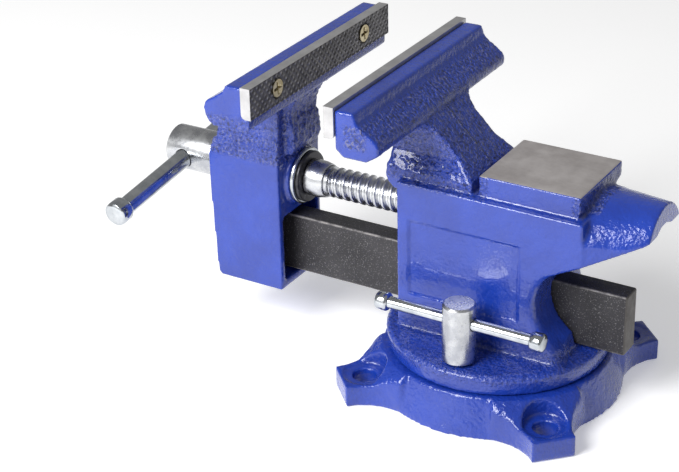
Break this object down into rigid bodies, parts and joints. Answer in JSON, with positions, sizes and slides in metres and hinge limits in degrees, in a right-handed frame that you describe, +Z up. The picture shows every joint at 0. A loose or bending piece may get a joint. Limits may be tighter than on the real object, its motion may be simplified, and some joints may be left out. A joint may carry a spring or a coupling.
{
  "type": "bench vise",
  "caption": "Bench vise with a swivel base, sliding jaw on a flat guide bar, screw with tommy bar, serrated jaw plates, small anvil and horn.",
  "frame": {"origin": "on the swivel axis, in the plane of the base's underside, at the centre of the four bolt holes", "axes": "+Z up along the swivel axis, +Y from the jaws back towards the anvil and horn, +X towards the side that carries the lock bolt"},
  "size_m": [0.1276, 0.2425, 0.1398],
  "materials": {
    "painted_casting": "gloss enamel over sand-cast iron",
    "jaw_steel": "ground edges, dark serrated face",
    "plated_steel": "bright zinc plate",
    "blackened_steel": "dark oiled steel, worn edges",
    "brass_screw": "yellow zinc",
    "spring_steel": "dark spring steel",
    "nut_iron": "bare cast iron"
  },
  "bodies": {
    "base": {"swivel_base": "painted_casting"},
    "swivel_body": {"fixed_jaw_body": "painted_casting", "fixed_jaw_plate": "jaw_steel", "fixed_plate_screws": "brass_screw", "spindle_nut": "nut_iron", "nut_set_screw": "blackened_steel", "pivot_bolt": "blackened_steel", "pivot_washer": "plated_steel", "clamp_nut": "blackened_steel"},
    "sliding_jaw": {"moving_jaw": "painted_casting", "slide_bar": "blackened_steel", "bar_screw": "plated_steel", "moving_jaw_plate": "jaw_steel", "moving_plate_screws": "brass_screw", "front_thrust_washer": "plated_steel", "rear_thrust_washer": "plated_steel", "spring_washer": "spring_steel"},
    "screw": {"spindle": "plated_steel", "retaining_collar": "plated_steel"},
    "tommy_bar": {"handle_bar": "plated_steel", "handle_knob_right": "plated_steel", "handle_knob_left": "plated_steel"},
    "lock_screw": {"lock_bolt": "plated_steel"},
    "lock_lever": {"lock_bar": "plated_steel", "lock_knob_front": "plated_steel", "lock_knob_rear": "plated_steel"}
  },
  "joints": [
    {"name": "swivel", "type": "hinge", "parent": "base", "child": "swivel_body", "pos_m": [0, 0, 0], "axis": [0, 0, 1], "range_deg": [-120, 120]},
    {"name": "jaw_slide", "type": "slide", "parent": "swivel_body", "child": "sliding_jaw", "axis": [0, -1, 0], "range_m": [-0.0344, 0.0414]},
    {"name": "spindle_spin", "type": "hinge", "parent": "sliding_jaw", "child": "screw", "pos_m": [0, -0.159, 0.075], "axis": [0, 1, 0], "range_deg": [-3720, 3090]},
    {"name": "tommy_bar_slide", "type": "slide", "parent": "screw", "child": "tommy_bar", "axis": [0.9932, 0, -0.1167], "range_m": [-0.043, 0.043]},
    {"name": "lock_turn", "type": "hinge", "parent": "swivel_body", "child": "lock_screw", "pos_m": [0.0394, 0.0007, 0.0462], "axis": [0, 0, 1], "range_deg": [-8, 8]},
    {"name": "lock_lever_slide", "type": "slide", "parent": "lock_screw", "child": "lock_lever", "axis": [0, 1, 0], "range_m": [-0.026, 0.026]}
  ],
  "couplings": [
    {"joint": "jaw_slide", "follows": "spindle_spin", "m_per_rad": -0.00063662}
  ]
}
